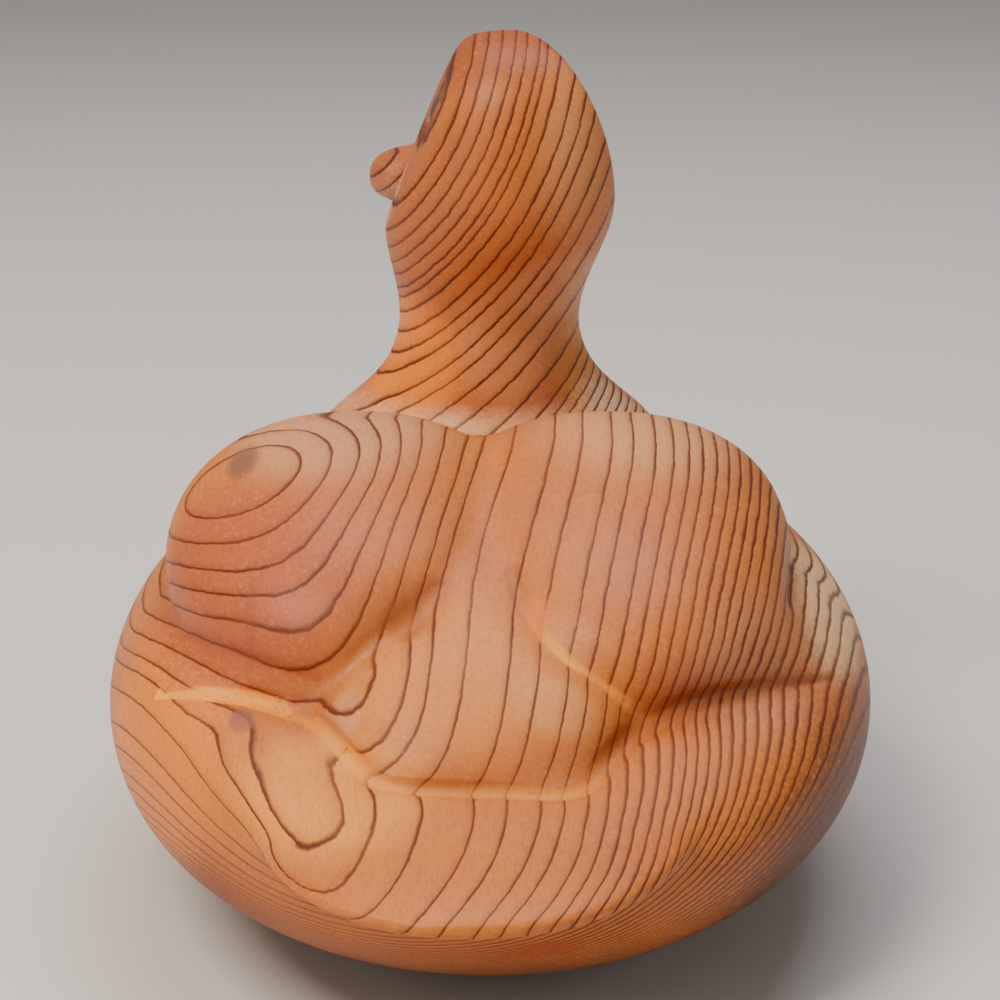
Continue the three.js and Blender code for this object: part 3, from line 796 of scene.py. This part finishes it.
glassEyeLook = {"iris": "#5a3a17", "rim": "#a8895c", "pupil": "#0c0806",
                "pupilSize": 0.42, "pupilEdge": 0.06, "irisSize": 0.86, "rimStart": 0.97,
                "roughness": 0.08, "ior": 1.52, "coat": 1.0, "coatRoughness": 0.02}


# Moulded glass eye, painted on its back and polished: a dark pupil in a brown iris under a wet shine.
def glassEye(name, side):
    material, tree = newMaterial(name)
    place = addNode(tree, "TexCoord").outputs["Object"]
    back = eyePlace(side).inverted()
    parts = []
    for i in range(2):
        axis = tuple(back[i][j] * 1000 for j in range(3))
        part = addNode(tree, "VectorMath", {0: place, 1: axis}, operation="DOT_PRODUCT").outputs["Value"]
        parts.append(addNode(tree, "Math", {0: part, 1: back[i][3]}, operation="ADD"))
    flat = addNode(tree, "CombineXYZ", {0: parts[0], 1: parts[1]})
    away = addNode(tree, "VectorMath", {0: flat}, operation="LENGTH").outputs["Value"]
    share = addNode(tree, "Math", {0: away, 1: eyeButton["radius"]}, operation="DIVIDE")
    bands = addNode(tree, "ValToRGB", {0: share})
    look = glassEyeLook
    edge = look["pupilSize"]
    steps = [(0.0, "pupil"), (edge, "pupil"), (edge + look["pupilEdge"], "iris"), (look["irisSize"], "iris"),
             (look["rimStart"], "rim")]
    stops = bands.color_ramp
    while len(stops.elements) < len(steps):
        stops.elements.new(0.5)
    for element, (spot, paint) in zip(stops.elements, steps):
        element.position = spot
        element.color = toLinear(look[paint])
    glass = addNode(tree, "BsdfPrincipled", {"Base Color": bands, "Roughness": look["roughness"],
                                             "IOR": look["ior"], "Coat Weight": look["coat"],
                                             "Coat Roughness": look["coatRoughness"]})
    addNode(tree, "OutputMaterial", {"Surface": glass})
    return material


def setAttribute(mesh, name, values):
    layer = mesh.attributes.new(name, "FLOAT", "POINT")
    layer.data.foreach_set("value", np.ascontiguousarray(values, dtype=np.float32))


# Edges of the paint in a fold, in knife half widths away from its line and in mm over it.
foldPaint = {"freshAndLitFull": 0.75, "freshAndLitGone": 1.05, "freshAndLitTop": 0.5, "darkFull": 0.2, "darkGone": 2.2,
             "darkBelow": 0.35, "darkRise": (-0.8, 0.4)}


# Where the knife left fresh wood, painted brighter as light on the cut's upturned wall, and where a fold is painted
# darker as shade, most of all above its line.
def paintFolds(mesh, form):
    p = np.empty(len(mesh.vertices) * 3)
    mesh.vertices.foreach_get("co", p)
    p = settled(form, p.reshape(-1, 3) * 1000, skinWork["paintRounds"])
    paint = foldPaint
    freshAndLit, dark = np.zeros(len(p)), np.zeros(len(p))
    for path in foldPaths:
        close = nearFold(p, path, foldWork["paintReach"])
        away, said, rise = alongPath(p[close], path)
        width = said[:, 1]
        # under the line, fresh wood and painted light on the upturned wall; the painted shade is strongest above it
        lower = said[:, 3] * (1 - ramp(away, paint["freshAndLitFull"] * width, paint["freshAndLitGone"] * width))
        lower *= 1 - ramp(rise, 0, paint["freshAndLitTop"])
        upper = said[:, 4] * (1 - ramp(away, paint["darkFull"] * width, paint["darkGone"] * width))
        upper *= paint["darkBelow"] + (1 - paint["darkBelow"]) * ramp(rise, *paint["darkRise"])
        freshAndLit[close] = np.maximum(freshAndLit[close], lower)
        dark[close] = np.maximum(dark[close], upper)
    setAttribute(mesh, "freshAndLit", freshAndLit)
    setAttribute(mesh, "foldShade", dark)


def buildBody():
    print("body")
    wood = softwood("oiled softwood, body block", bodyWoodLook, bodyRings, bodyMarks, 4.0)
    shape = layOn(stubForm, bodySkin)
    spots = spotsOf(shape)
    slope = slopeAt(bodyForm, spots)
    slope /= np.linalg.norm(slope, axis=1, keepdims=True)
    moveSpots(shape, spots - slope * knifeCuts(spots)[:, None])
    bmesh.ops.triangulate(shape, faces=shape.faces)
    body = toObject("bodyCarved", shape, wood)
    applyCut(body, overSeat(headCarving["seatBack"] - headCarving["seatStep"], 0), "DIFFERENCE")
    body.data.shade_smooth()
    body.data.set_sharp_from_angle(angle=math.radians(bodySkin["sharpAngle"]))
    paintFolds(body.data, bodyForm)
    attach(body, "root")
    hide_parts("body")
    print("  triangles:", sum(len(face.vertices) - 2 for face in body.data.polygons))


def buildHead():
    print("head")
    wood = softwood("oiled softwood, head block", headWoodLook, headRings, headMarks, 9.0)
    shape = layOn(neckForm, headSkin)
    bmesh.ops.triangulate(shape, faces=shape.faces)
    head = toObject("headCarved", shape, wood)
    applyCut(head, overSeat(-roomSize / 2, headCarving["glueLine"]), "INTERSECT")
    for side in (-1, 1):
        socket = lens(side, eyeButton["socketRadius"], eyeButton["socketDepth"], eyeButton["socketRings"])
        applyCut(head, toObject("socket", socket, None), "DIFFERENCE")
    head.data.shade_smooth()
    head.data.set_sharp_from_angle(angle=math.radians(headSkin["sharpAngle"]))
    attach(head, "root")
    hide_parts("head")
    print("  triangles:", sum(len(face.vertices) - 2 for face in head.data.polygons))


def buildEyes():
    print("eyes")
    for side, word in ((-1, "Left"), (1, "Right")):
        glass = glassEye("polished glass eye, " + word.lower(), side)
        button = lens(side, eyeButton["radius"], eyeButton["depth"], eyeButton["rings"], eyeButton["sunk"])
        eye = toObject("eye" + word, button, glass)
        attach(eye, "root")
        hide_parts("eye_" + word.lower())


buildStudio()
buildBody()
buildHead()
buildEyes()
